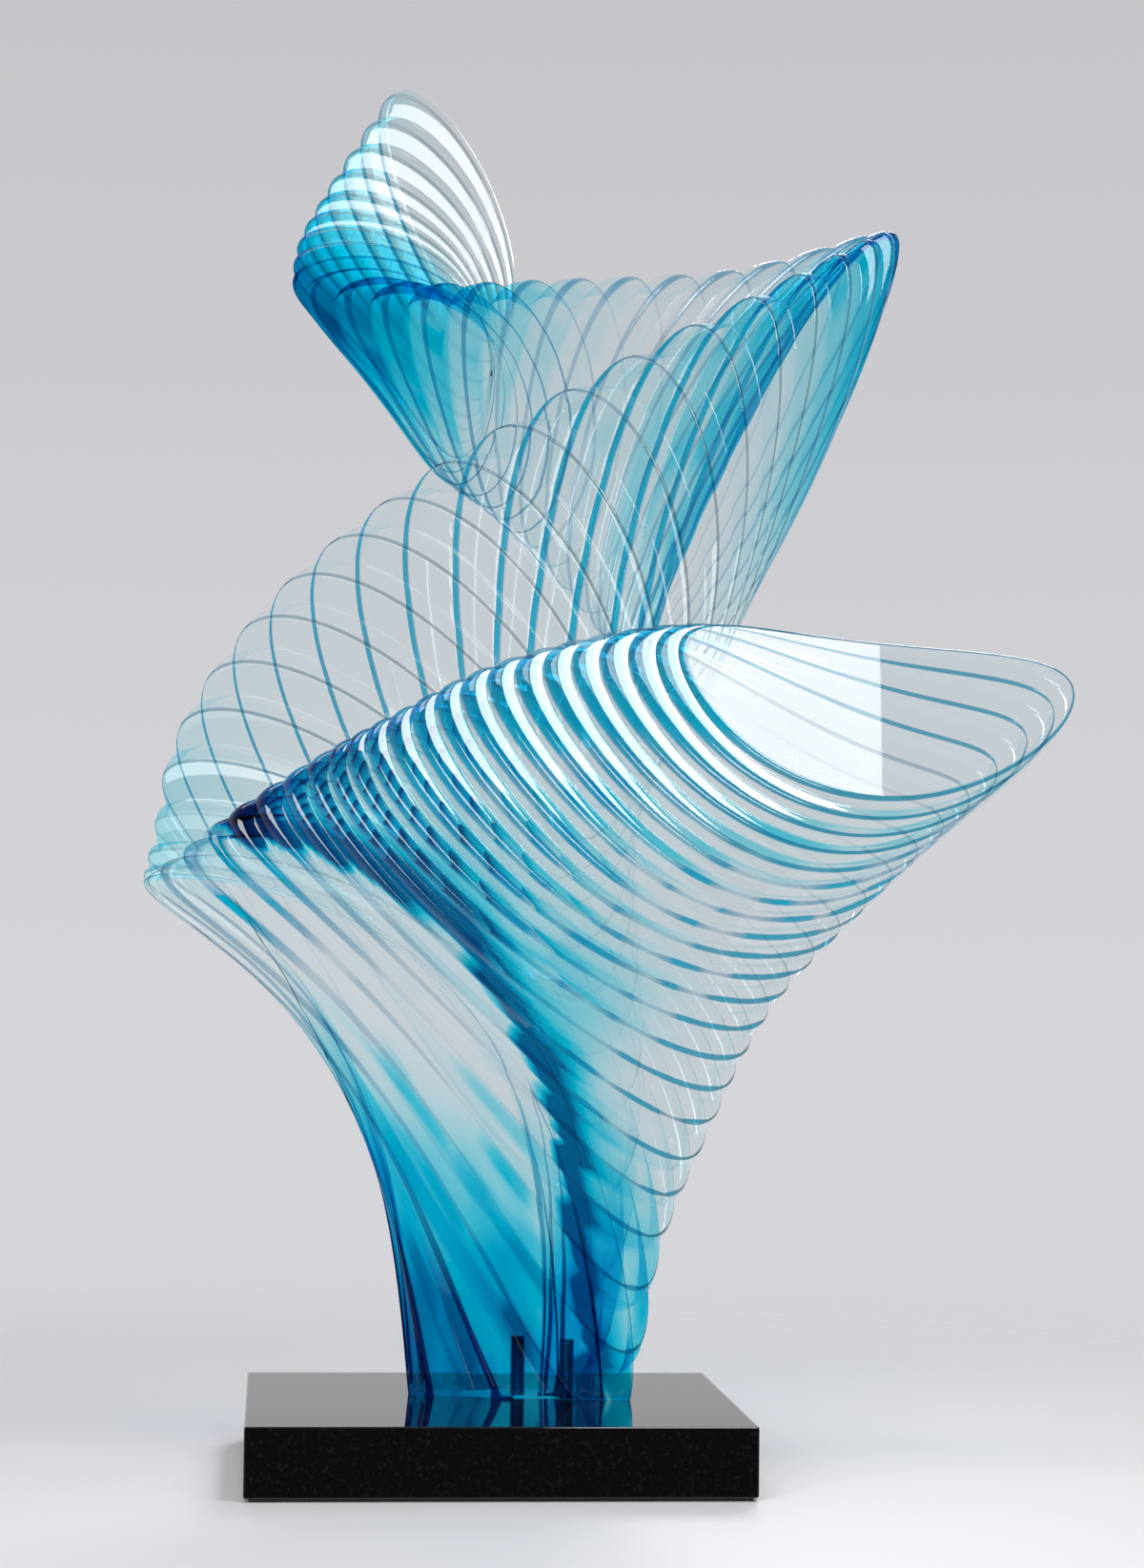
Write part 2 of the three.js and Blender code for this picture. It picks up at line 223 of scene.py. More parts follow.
def rib_rings(rib):
    """The rings over one rib after its groove: the plate's face, its rounded edge,
    its rim, and back. Each is (place, band, points, travel from the front edge)."""
    groove, next_groove = groove_ring(rib), groove_ring(rib + 1)
    edge = lay_ring(rib + RIM_SHARE, rib + 0.5 - HOLD_SHARE)
    next_edge = lay_ring(rib + 1 - RIM_SHARE, rib + 0.5 + HOLD_SHARE)
    rings = [stepped(groove, edge, GROOVE_RADIUS, GROOVE_MOST)]
    softened = EDGE_RADIUS + (RIDGE_RADIUS - EDGE_RADIUS) * front_arm_ridge(rib, np.degrees(TURNS))
    rings += rounded(groove, edge, next_edge, softened)
    rings += rounded(edge, next_edge, next_groove, EDGE_RADIUS)
    rings.append(stepped(next_groove, next_edge, GROOVE_RADIUS, GROOVE_MOST))
    places = np.interp(np.arange(RIB_RINGS), [0, FRONT_EDGE, BACK_EDGE, RIB_RINGS - 1],
                       [rib, rib + RIM_SHARE, rib + 1 - RIM_SHARE, rib + 1])
    steps = [np.linalg.norm(b - a, axis=1) for a, b in zip(rings, rings[1:])]
    travel = np.vstack([np.zeros(RING_SEGMENTS), np.cumsum(steps, axis=0)])
    front_edge = (travel[int(FRONT_EDGE)] + travel[int(FRONT_EDGE) + 1]) / 2
    return list(zip(places, BAND_PROFILE, rings, travel - front_edge))


def ribbon_rings():
    """All rings of the ribbon from the flat front plate to the upright tip."""
    far = np.full(RING_SEGMENTS, FAR)
    rings = [(0.0, 0.0, groove_ring(0), far)]
    for rib in range(RIB_COUNT):
        rings += rib_rings(rib)
        inner = 1.0 if rib < RIB_COUNT - 1 else 0.0
        rings.append((rib + 1.0, inner, groove_ring(rib + 1), far))
    return rings


# Colour of the resin against its blue density, clear to navy
TINTS = [
    (0.0, (1.0, 1.0, 1.0)),
    (0.05, (0.83, 0.96, 0.98)),
    (0.15, (0.42, 0.87, 0.95)),
    (0.25, (0.16, 0.77, 0.92)),
    (0.4, (0.015, 0.61, 0.86)),
    (0.6, (0.0, 0.46, 0.76)),
    (0.8, (0.0, 0.27, 0.55)),
    (1.0, (0.0, 0.12, 0.36)),
    (1.2, (0.0, 0.03, 0.14)),
]
# Tint of the lines against their tone, also used for the painted shade where a surface is seen edge-on:
# grey, teal, navy
LINE_TINTS = [(0.0, (0.03, 0.09, 0.11)), (0.5, (0.0, 0.33, 0.62)), (1.0, (0.0, 0.005, 0.07))]

# Soft patches of blue: rib, turn in degrees, spread over ribs, spread over turns, strength
PATCHES = [
    (8, 0, 7, 30, 0.03),
    (15, 0, 4.5, 28, 0.12),
    (5, 55, 7, 50, 0.03),
    (12, 70, 2.4, 50, 0.12),
    (13.5, 106, 2.2, 20, 0.18),
    (26, 0, 2.2, 35, 0.15),
    (43.5, -25, 3.2, 65, 0.2),
    (43.5, 25, 3.2, 65, 0.2),
    (44.5, 0, 2.4, 60, 0.12),
    (45, -60, 3, 50, 0.25),
    (58.8, 40, 3.2, 60, 0.8),
    (58.5, -40, 3.2, 60, 0.15),
    (60.5, -15, 2.4, 60, 0.35),
    (64, 0, 3.5, 30, 0.3),
    (64, 110, 3, 40, 0.2),
]

# Where the grooves carry wide bands of blue, in the same way
BANDS = [
    (2.5, 105, 2.5, 35, 0.16),
    (6, 10, 7, 40, 0.08),
    (12, 40, 4, 45, 0.25),
    (6, 75, 9, 40, 0.08),
    (7, 62, 5, 32, 0.2),
    (42, 50, 3.2, 80, 0.36),
    (58, 60, 4, 60, 0.3),
]

# Random values round each plate, and one seed for each of their uses
STREAK_KNOTS, HOOK_KNOTS = 28, 48
BREAK_SEED, HOOK_SEED, BAND_SEED, FOOT_FRONT_SEED, FOOT_BACK_SEED, STROKE_SEED, STEM_SEED = range(3, 10)

# Rows of dark scales fan out from a point at the left tip, one per step in radians
FAN_TIP, FAN_STEP = (-170, -20, 373), 0.105
ROW_ARCH_WIDTH, ROW_ARCH_HEIGHT = 13, 2.4

# Top line of the front arm, x and height: the lines that lie behind it are faint below this
FRONT_RIDGE = [(-210, 340), (-100, 420), (0, 478), (100, 500), (340, 470)]

# The dark line that runs from the left tip down the stem, a band of painted shade standing in for the dark
# contour where the surface turns from the stem's rims to the arm's plates: turn in degrees, rib
DARK_LINE = [(-30, 20.5), (0, 18.5), (15, 18.2), (25, 17.8), (40, 16.2), (60, 14.8), (80, 14.2),
             (100, 15.2), (120, 16.8), (140, 19.2), (155, 20.8), (180, 21.8), (210, 23)]


def patchwork(patches, place, degrees):
    """The sum of soft patches."""
    total = np.zeros(len(place))
    for rib, turn, rib_spread, turn_spread, strength in patches:
        total += strength * bell(place - rib, rib_spread) * bell(turned(degrees, turn), turn_spread)
    return total


def behind_front_arm(x, height):
    """1 where the front arm hides what is behind it, 0 well above its top line."""
    return 1 - smooth(-25, 15, height - np.interp(x, *zip(*FRONT_RIDGE)))


def beyond_dark_line(place, degrees):
    """Ribs past the dark line, and the turn counted from the lower left."""
    from_left = turned(degrees, 90)
    turns, ribs = zip(*DARK_LINE)
    return place - np.interp(from_left + 90, turns, ribs), from_left


def streaks(place, degrees, seed, knots=STREAK_KNOTS):
    """Smooth random values from 0 to 1 round each plate, different on every plate."""
    values = np.random.default_rng(seed).random((RIB_COUNT + 1, knots))
    along = degrees / 360 * knots
    knot = np.floor(along).astype(int)
    rib = np.floor(place + 1e-6).astype(int)
    share = smooth(0, 1, along - knot)
    return values[rib, knot % knots] * (1 - share) + values[rib, (knot + 1) % knots] * share


def unevenness(place, degrees, seed):
    """The streaks as a factor from 0.2 to 1.8."""
    return 0.2 + 1.6 * streaks(place, degrees, seed)


def stem_density(place, degrees, height, band_share):
    """Blue of the stem, deeper and more streaked towards the foot."""
    in_stem = smooth(15, 19, place) * (1 - smooth(29, 33, place))
    tip = bell(turned(degrees, 180), 30) * (1 - smooth(19, 21, place))
    streaky = unevenness(place, degrees, STEM_SEED)
    density = in_stem * (1 - tip) * 0.38 * (1 - smooth(BLOCK_TOP, 235, height)) ** 0.8 * streaky
    stroke = in_stem * smooth(0.3, 0.8, streaks(place, degrees, STROKE_SEED)) * (1 - band_share)
    density += 0.55 * stroke * bell(turned(degrees, 100), 60) * (1 - smooth(BLOCK_TOP + 100, 330, height))
    left_edge = bell(place - 24, 3.5) * bell(turned(degrees, 105), 45)
    return density + 0.6 * left_edge * (1 - smooth(BLOCK_TOP, 330, height))


def dark_line_painted_shade(place, degrees, streak):
    """Painted shade of the dark line, laid in as deep blue: a hard edge on the stem's side, a soft one on
    the arm's.
    """
    beyond, from_left = beyond_dark_line(place, degrees)
    on_front = smooth(-125, -110, from_left) * (1 - smooth(100, 120, from_left))
    before = bell(beyond, 1.8) * 0.4 * streak + bell(beyond, 0.7) * 0.6
    dark = np.where(beyond > 0, 1 - smooth(0.2, 0.7, beyond), before)
    return 1.5 * dark * on_front * (1 - 0.6 * smooth(50, 80, from_left))


def blue_density(place, degrees, x, height, band_share):
    """How blue the resin is at every vertex, with the dark line's painted shade added."""
    streak = unevenness(place, degrees, BAND_SEED)
    density = 0.03 + patchwork(PATCHES, place, degrees)
    density += patchwork(BANDS, place, degrees) * band_share * streak
    density += stem_density(place, degrees, height, band_share)
    density *= 1 - 0.7 * behind_front_arm(x, height) * smooth(29, 31, place)
    # Painted shade: the dark line is added as if it were deeper blue
    return density + dark_line_painted_shade(place, degrees, streak)


def arm_shares(place):
    """How much every vertex belongs to each arm and to the stem."""
    z = SimpleNamespace()
    z.front_arm = 1 - smooth(*FRONT_END, place)
    z.middle_arm = smooth(*STEM_END, place) * (1 - smooth(*MIDDLE_END, place))
    z.back_arm = smooth(*MIDDLE_END, place) * (1 - smooth(*BACK_END, place))
    z.top_arm = smooth(*BACK_END, place)
    z.stem = 1 - z.front_arm - z.middle_arm - z.back_arm - z.top_arm
    return z


def line_zones(place, degrees, x, height):
    """How much every vertex belongs to the arms, and to places where the lines differ."""
    z = arm_shares(place)
    sine = np.sin(np.radians(degrees))
    z.lower_left = smooth(-0.15, 0.25, sine)
    z.ridge = front_arm_ridge(place, degrees)
    z.first_plates = 1 - smooth(3, 6, place)
    z.tip = bell(turned(degrees, 180), 35)
    z.late_tips = bell(turned(degrees, 165), 45) * smooth(5, 9, place) * z.front_arm
    z.foot = 1 - smooth(90, 260, height)
    z.outline = bell(place - 24.5, 3) * bell(turned(degrees, 75), 50)
    z.foot_line = z.stem * z.foot
    z.thin = 0.45 * (z.stem - z.foot_line) * (1 - z.outline)
    z.past_line = smooth(0.3, 1, beyond_dark_line(place, degrees)[0]) * np.maximum(z.front_arm, z.stem)
    z.seen = 1 - 0.85 * behind_front_arm(x, height)
    right_fold = smooth(47, 49, place) * (1 - smooth(54, 57, place)) * (1 - smooth(-0.5, -0.1, sine))
    z.outer = 1 - 0.6 * right_fold
    z.fold_edge = smooth(40, 42, place) * (1 - smooth(46, 48, place)) * bell(turned(degrees, -75), 60)
    z.back_top = z.back_arm * bell(turned(degrees, 20), 35)
    z.small_fold = smooth(53, 55, place) * (1 - smooth(*SMALL_FOLD_END, place))
    z.above_fold = 1 - 0.8 * smooth(60.5, 62, place) * (1 - smooth(720, 750, height))
    gaps = smooth(0.35, 0.85, streaks(place, degrees, BREAK_SEED))
    z.broken = 1 - 0.7 * gaps * z.past_line * (1 - z.outline) * (1 - z.foot)
    z.hooks = line_hooks(z, place, degrees)
    return z


def line_hooks(z, place, degrees):
    """Short dark strokes on the lower left of the front arm's plates."""
    chance = streaks(place, degrees, HOOK_SEED, HOOK_KNOTS) + 0.2 * bell(turned(degrees, 145), 30)
    on_arm = z.front_arm * z.lower_left * (1 - z.ridge) * (1 - z.first_plates) * (1 - z.past_line)
    return smooth(0.45, 0.85, chance) * on_arm


def line_strength(z):
    """How strongly the lines show, broken up past the dark line."""
    strength = (z.front_arm * np.maximum(z.ridge + 0.35 * z.lower_left + 0.8 * z.tip, z.first_plates)
                + z.hooks + z.stem * np.maximum(0.8 + 0.2 * z.foot, z.outline)
                + z.middle_arm * (0.75 + 0.25 * z.lower_left) * z.seen * z.outer
                + z.back_arm * 0.6 * z.seen * z.outer
                + z.top_arm * (0.6 + 0.4 * z.lower_left) * z.above_fold)
    strength = np.maximum(strength, 0.9 * np.maximum.reduce([z.small_fold, z.fold_edge, z.back_top]))
    return np.clip(strength, 0, 1) * z.broken


def line_widths(z, place, degrees):
    """Widths of the lines before and behind each plate's edge, in millimetres."""
    shared = 1.2 - z.thin + 1.6 * z.outline + 1.5 * z.back_top
    front = (shared + 7.5 * z.ridge + 1.2 * z.hooks + 0.5 * z.front_arm * z.first_plates
             - 0.2 * z.past_line - 0.4 * z.late_tips
             + z.foot_line * (1 + 3 * streaks(place, degrees, FOOT_FRONT_SEED)))
    back = (shared + 5 * z.ridge * (1 - z.past_line) + 0.8 * z.hooks + 1.5 * z.fold_edge
            - 0.3 * z.past_line + z.foot_line * (1 + 2 * streaks(place, degrees, FOOT_BACK_SEED))
            + z.middle_arm * z.lower_left * (0.8 + 4 * smooth(29, 38, place))
            + z.top_arm * z.lower_left * 2.8)
    return front, back


def line_tone(z, place, degrees):
    """Tone of the lines, from grey through teal to navy."""
    on_front = np.maximum(0.67 * z.ridge, 0.3 * np.maximum(z.lower_left, z.first_plates))
    tone = (z.front_arm * on_front + 0.2 * z.hooks - 0.2 * z.late_tips
            + z.stem * np.maximum(0.2 + 0.8 * z.foot, 0.4 * z.outline)
            + z.middle_arm * z.lower_left * (0.3 + 0.2 * smooth(30, 38, place))
            + z.middle_arm * 0.2 * bell(turned(degrees, -5), 30)
            + z.back_arm * 0.35 + z.top_arm * z.lower_left * 0.6)
    folds = np.maximum.reduce([0.65 * z.small_fold, 0.5 * z.fold_edge, 0.6 * z.back_top])
    return np.clip(np.maximum(tone, folds), 0, 1)


def line_look(place, degrees, x, height):
    """Strength, widths before and behind the edge, and tone of the line along every plate."""
    z = line_zones(place, degrees, x, height)
    front, back = line_widths(z, place, degrees)
    return line_strength(z), front, back, line_tone(z, place, degrees)


def shine(place, height):
    """Strength of the polished coat, weaker on the flat front plate, on the stem and the
    middle arm, and in and behind the small upper left fold."""
    front_plate = np.where(place < 1e-3, 0.53, 0.0)
    stem = 0.75 * smooth(18, 20, place) * (1 - smooth(*STEM_END, place))
    middle_arm = arm_shares(place).middle_arm * (0.85 - 0.35 * smooth(31, 35, place))
    fold = smooth(50, 52, place) * (1 - smooth(*SMALL_FOLD_END, place))
    behind = smooth(*SMALL_FOLD_END, place) * (1 - smooth(725, 745, height))
    return 1 - np.maximum.reduce([fold, behind, front_plate, middle_arm, stem])


def fan_rows(place, degrees, travel):
    """Share of the rows of dark scales on the front arm's upper left, and the way
    across each scale's arch."""
    share = 1.8 * (1 - smooth(19, 21, place)) * bell(place - 14.5, 5.3) * bell(turned(degrees, 36), 55)
    share *= (1 - smooth(-0.3, 0.3, beyond_dark_line(place, degrees)[0])) * (travel < 1)
    return share, np.clip(-travel, 0, 40) / ROW_ARCH_WIDTH


def ring_quads(ring_count, around):
    """Quads between neighbouring rings of as many points each."""
    here = np.arange(around)
    after = (here + 1) % around
    starts = range(0, (ring_count - 1) * around, around)
    return np.concatenate([np.stack([a + here, a + around + here, a + around + after, a + after], 1)
                           for a in starts])


def ribbon_faces(ring_count):
    """Quads along the ribbon, and a fan of triangles on each flat end."""
    last = (ring_count - 1) * RING_SEGMENTS
    first_middle = ring_count * RING_SEGMENTS
    pairs = [(here, (here + 1) % RING_SEGMENTS) for here in range(RING_SEGMENTS)]
    fans = [(first_middle, here, after) for here, after in pairs]
    fans += [(first_middle + 1, last + after, last + here) for here, after in pairs]
    return ring_quads(ring_count, RING_SEGMENTS).tolist() + fans


def ribbon_values(rings, vertices):
    """The values that the resin's material reads from every vertex."""
    count = RING_SEGMENTS
    places = np.concatenate([np.full(count, ring[0]) for ring in rings] + [[0.0, float(RIB_COUNT)]])
    bands = np.concatenate([np.full(count, ring[1]) for ring in rings] + [[0.0, 0.0]])
    travel = np.concatenate([ring[3] for ring in rings] + [[FAR, FAR]])
    degrees = np.degrees(np.concatenate([TURNS] * len(rings) + [[0.0, 0.0]]))
    across, heights = vertices[:, 0] / MM, vertices[:, 2] / MM
    pigment_and_painted_shade = blue_density(places, degrees, across, heights, bands)
    strength, front_width, back_width, tone = line_look(places, degrees, across, heights)
    gap = np.where(travel < 0, -travel / front_width, travel / back_width)
    step = RIB_RINGS + 1
    grooves = np.arange(step, len(rings) - 1, step)[:, None] * count + np.arange(count)
    gap[grooves] = np.minimum(gap[grooves - count], gap[grooves + count])
    row_share, row_across = fan_rows(places, degrees, travel)
    return {"pigment_and_painted_shade": pigment_and_painted_shade, "edge_gap": gap, "line": strength, "tone": tone,
            "shine": shine(places, heights), "row_share": row_share, "row_across": row_across}


def ribbon_mesh():
    """The whole ribbon as one closed mesh with its values."""
    rings = ribbon_rings()
    points = np.concatenate([ring[2] for ring in rings]) * MM
    vertices = np.vstack([points, rings[0][2].mean(0) * MM, rings[-1][2].mean(0) * MM])
    mesh = bpy.data.meshes.new("resin_ribbon")
    mesh.from_pydata(vertices.tolist(), [], ribbon_faces(len(rings)))
    for name, values in ribbon_values(rings, vertices).items():
        layer = mesh.attributes.new(name, "FLOAT", "POINT")
        layer.data.foreach_set("value", values.astype(np.float32))
    mesh.polygons.foreach_set("use_smooth", [True] * len(mesh.polygons))
    mesh.update()
    return mesh


def attribute(tree, name):
    """A value that the ribbon's vertices carry."""
    reader = tree.nodes.new("ShaderNodeAttribute")
    reader.attribute_name = name
    return reader.outputs["Fac"]


def maths(tree, operation, first, second):
    """One sum of two numbers or sockets."""
    made = tree.nodes.new("ShaderNodeMath")
    made.operation = operation
    for socket, value in zip(made.inputs, (first, second)):
        if isinstance(value, (int, float)):
            socket.default_value = value
        else:
            tree.links.new(value, socket)
    return made.outputs[0]


def vector_maths(tree, operation, vector, second=None):
    """One sum of a vector socket and a fixed vector."""
    made = tree.nodes.new("ShaderNodeVectorMath")
    made.operation = operation
    tree.links.new(vector, made.inputs[0])
    if second is not None:
        made.inputs[1].default_value = second
    return made.outputs["Value" if operation == "LENGTH" else "Vector"]


def map_range(tree, value, start, end, first, last, kind="SMOOTHSTEP"):
    """Turns the values from start to end into those from first to last."""
    made = tree.nodes.new("ShaderNodeMapRange")
    made.interpolation_type = kind
    for name, number in (("From Min", start), ("From Max", end), ("To Min", first), ("To Max", last)):
        made.inputs[name].default_value = number
    tree.links.new(value, made.inputs["Value"])
    return made.outputs[0]


def colour_ramp(tree, factor, stops):
    """Colours between stops of (position, colour)."""
    ramp = tree.nodes.new("ShaderNodeValToRGB")
    elements = ramp.color_ramp.elements
    while len(elements) < len(stops):
        elements.new(0.5)
    for element, (position, colour) in zip(elements, stops):
        element.position = position
        element.color = (*colour, 1)
    tree.links.new(factor, ramp.inputs[0])
    return ramp.outputs[0]


def separate(tree, vector):
    """The X, Y and Z of a vector socket."""
    split = tree.nodes.new("ShaderNodeSeparateXYZ")
    tree.links.new(vector, split.inputs[0])
    return split.outputs


def object_place(tree):
    """Where a point lies on its object, in metres."""
    return tree.nodes.new("ShaderNodeTexCoord").outputs["Object"]


def noise(tree, scale, detail=2, stretch=None):
    """Soft noise in the object's own frame."""
    place = object_place(tree)
    if stretch:
        mapping = tree.nodes.new("ShaderNodeMapping")
        mapping.inputs["Scale"].default_value = stretch
        tree.links.new(place, mapping.inputs["Vector"])
        place = mapping.outputs[0]
    made = tree.nodes.new("ShaderNodeTexNoise")
    made.inputs["Scale"].default_value = scale
    made.inputs["Detail"].default_value = detail
    tree.links.new(place, made.inputs["Vector"])
    return made.outputs["Fac"]


def principled(name, colour, roughness, **more):
    """A new material with its node tree and shader, other inputs by name."""
    material = bpy.data.materials.new(name)
    material.use_nodes = True
    shader = material.node_tree.nodes["Principled BSDF"]
    shader.inputs["Base Color"].default_value = (*colour, 1)
    shader.inputs["Roughness"].default_value = roughness
    for socket, value in more.items():
        shader.inputs[socket.replace("_", " ")].default_value = value
    return material, material.node_tree, shader


def ramp_input(tree, shader, name, factor, low, high, start=0.0, end=1.0):
    """Lets a shader's input run between two colours."""
    tree.links.new(colour_ramp(tree, factor, [(start, low), (end, high)]), shader.inputs[name])


def scale_rows(tree):
    """Dark rows that fan out from the left tip, each fading downwards."""
    apart = separate(tree, vector_maths(tree, "SUBTRACT", object_place(tree), Vector(FAN_TIP) * MM))
    row = maths(tree, "DIVIDE", maths(tree, "ARCTAN2", apart["Z"], apart["X"]), -FAN_STEP)
    across = attribute(tree, "row_across")
    arch = maths(tree, "MULTIPLY", across, maths(tree, "SUBTRACT", 1.0, across))
    shifted = maths(tree, "ADD", row, maths(tree, "MULTIPLY", arch, ROW_ARCH_HEIGHT))
    below = maths(tree, "SUBTRACT", 1.0, maths(tree, "FRACT", shifted, 0.0))
    return maths(tree, "MULTIPLY", maths(tree, "POWER", below, 2.5), attribute(tree, "row_share"))


def resin_colour(tree):
    """Colour of the resin from its pigment and the dark line's painted shade, with soft clouds and the
    rows of scales.
    """
    swirl = maths(tree, "ADD", maths(tree, "MULTIPLY", noise(tree, 9, 3), 0.7), 0.65)
    blue = maths(tree, "MULTIPLY", attribute(tree, "pigment_and_painted_shade"), swirl)
    full = TINTS[-1][0]
    share = maths(tree, "DIVIDE", maths(tree, "ADD", blue, scale_rows(tree)), full)
    return colour_ramp(tree, share, [(level / full, colour) for level, colour in TINTS])


def plate_lines(tree):
    """The lines along the plates' edges, soft at their sides."""
    fade = map_range(tree, attribute(tree, "edge_gap"), 0.75, 1.25, 1.0, 0.0)
    return maths(tree, "MULTIPLY", fade, attribute(tree, "line"))


def grazing_painted_shade(tree, tone):
    """Painted shade: share of the lines' dark tint where a surface is seen nearly from its side, standing
    in for the dark edges that bending light gives real glass.
    """
    facing = tree.nodes.new("ShaderNodeLayerWeight")
    facing.inputs["Blend"].default_value = 0.5
    widened = maths(tree, "ADD", facing.outputs["Facing"], maths(tree, "MULTIPLY", tone, 0.12))
    return map_range(tree, widened, 0.8, 1.0, 0.0, 0.7)


def resin_material():
    """Clear resin that hardly bends light, under a coat that mirrors the lamps, with painted shade in its
    colour where a surface is seen edge-on and along the dark line.
    """
    material, tree, shader = principled("resin", (0.8, 0.8, 0.8), 0.0, Transmission_Weight=1.0, IOR=1.01,
                                        Coat_Roughness=0.02, Coat_IOR=1.6)
    tree.links.new(attribute(tree, "shine"), shader.inputs["Coat Weight"])
    tone = attribute(tree, "tone")
    mix = tree.nodes.new("ShaderNodeMix")
    mix.data_type = "RGBA"
    mix.blend_type = "MULTIPLY"
    # Painted shade: the lines' tint also darkens the colour wherever a surface is seen edge-on
    dark = maths(tree, "MAXIMUM", plate_lines(tree), grazing_painted_shade(tree, tone))
    tree.links.new(dark, mix.inputs["Factor"])
    tree.links.new(resin_colour(tree), mix.inputs["A"])
    tree.links.new(colour_ramp(tree, tone, LINE_TINTS), mix.inputs["B"])
    tree.links.new(mix.outputs["Result"], shader.inputs["Base Color"])
    return material


def block_material():
    """Polished black with faint flecks and smudges."""
    material, tree, shader = principled("polished_black", (0.004, 0.004, 0.005), 0.03,
                                        Specular_IOR_Level=0.5)
    ramp_input(tree, shader, "Base Color", noise(tree, 420, 4),
               (0.003, 0.003, 0.004), (0.012, 0.012, 0.014), 0.55, 0.75)
    ramp_input(tree, shader, "Roughness", noise(tree, 14, 3), (0.02,) * 3, (0.06,) * 3, 0.4, 0.8)
    return material


def felt_material():
    """Matt felt with fine fibres."""
    material, tree, shader = principled("felt", (0.012, 0.012, 0.013), 1.0, Sheen_Weight=0.4)
    fibres = noise(tree, 900, 6)
    ramp_input(tree, shader, "Base Color", fibres, (0.006, 0.006, 0.007), (0.03, 0.03, 0.032))
    bump = tree.nodes.new("ShaderNodeBump")
    bump.inputs["Distance"].default_value = 0.4 * MM
    bump.inputs["Strength"].default_value = 1.0
    tree.links.new(fibres, bump.inputs["Height"])
    tree.links.new(bump.outputs[0], shader.inputs["Normal"])
    return material


def steel_material():
    """Zinc-grey steel with a slight grain."""
    material, tree, shader = principled("zinc_steel", (0.42, 0.43, 0.45), 0.35, Metallic=1.0)
    grain = noise(tree, 260, 3, (1, 1, 0.15))
    ramp_input(tree, shader, "Base Color", grain, (0.3, 0.31, 0.33), (0.5, 0.51, 0.52))
    ramp_input(tree, shader, "Roughness", grain, (0.28,) * 3, (0.48,) * 3)
    return material


def new_object(name, mesh, material, stage=False):
    """A visible piece that rides on the root body, or a stage piece left unattached."""
    piece = bpy.data.objects.new(name, mesh)
    bpy.context.scene.collection.objects.link(piece)
    if material:
        mesh.materials.append(material)
    if stage:
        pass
    else:
        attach(piece, "root")
    return piece


def mesh_from(name, bm):
    """A mesh made from a bmesh, which is freed."""
    mesh = bpy.data.meshes.new(name)
    bm.to_mesh(mesh)
    bm.free()
    return mesh


def box_bmesh(low, high):
    """A box between two corners in millimetres."""
    bm = bmesh.new()
    bmesh.ops.create_cube(bm, size=1)
    for vertex in bm.verts:
        vertex.co = Vector([l + (h - l) * (c + 0.5) for c, l, h in zip(vertex.co, low, high)]) * MM
    return bm


def rod_bmesh(radius, bottom, top, place):
    """An upright rod in millimetres, its axis at a place on the block."""
    bm = bmesh.new()
    bmesh.ops.create_cone(bm, cap_ends=True, segments=64, radius1=radius * MM, radius2=radius * MM,
                          depth=(top - bottom) * MM)
    bmesh.ops.translate(bm, vec=Vector((*place, (top + bottom) / 2)) * MM, verts=bm.verts)
    return bm


def cut_with(piece, bm):
    """Cuts a closed mesh out of a piece for good."""
    cutter = bpy.data.objects.new("cutter", mesh_from("cutter", bm))
    bpy.context.scene.collection.objects.link(cutter)
    modifier = piece.modifiers.new("cut", "BOOLEAN")
    modifier.operation = "DIFFERENCE"
    modifier.solver = "MANIFOLD"
    modifier.object = cutter
    depsgraph = bpy.context.evaluated_depsgraph_get()
    cut = bpy.data.meshes.new_from_object(piece.evaluated_get(depsgraph))
    piece.modifiers.remove(modifier)
    piece.data = cut
    bpy.data.objects.remove(cutter)


def nearest_uncut(piece, uncut):
    """For every vertex the nearest one before the cuts, and whether a cut has made it."""
    near = KDTree(len(uncut.vertices))
    for vertex in uncut.vertices:
        near.insert(vertex.co, vertex.index)
    near.balance()
    found = [near.find(vertex.co)[1:] for vertex in piece.data.vertices]
    source = np.array([index for index, _ in found])
    return source, np.array([distance > SAME_PLACE * MM for _, distance in found])


def vertex_values(mesh, name):
    """The values that a mesh's vertices carry under one name."""
    values = np.zeros(len(mesh.vertices), np.float32)
    mesh.attributes[name].data.foreach_get("value", values)
    return values


def fill_cut_values(piece, uncut):
    """Gives the vertices that a cut has made the values of the nearest uncut one.
    The stud pockets are dark inside."""
    source, made = nearest_uncut(piece, uncut)
    across = np.array([vertex.co[:2] for vertex in piece.data.vertices]) / MM
    walls = [np.hypot(*(across - place).T) < POCKET_RADIUS + 0.1 for place in STUDS.values()]
    pocket = made & np.any(walls, 0)
    for name, dark in POCKET_VALUES.items():
        values = np.where(made, vertex_values(uncut, name)[source], vertex_values(piece.data, name))
        values = np.where(pocket, dark, values).astype(np.float32)
        piece.data.attributes[name].data.foreach_set("value", values)


def finish_underside(piece):
    """Makes the foot's level underside flat and bright, as light inside the foot
    is thrown back from it."""
    material, _, _ = principled("resin_underside", (0.7, 0.92, 0.98), 0.03, Metallic=1.0)
    piece.data.materials.append(material)
    for face in piece.data.polygons:
        if abs(face.center.z - UNDERSIDE * MM) < FLAT_WITHIN * MM:
            face.use_smooth = False
            face.material_index = 1


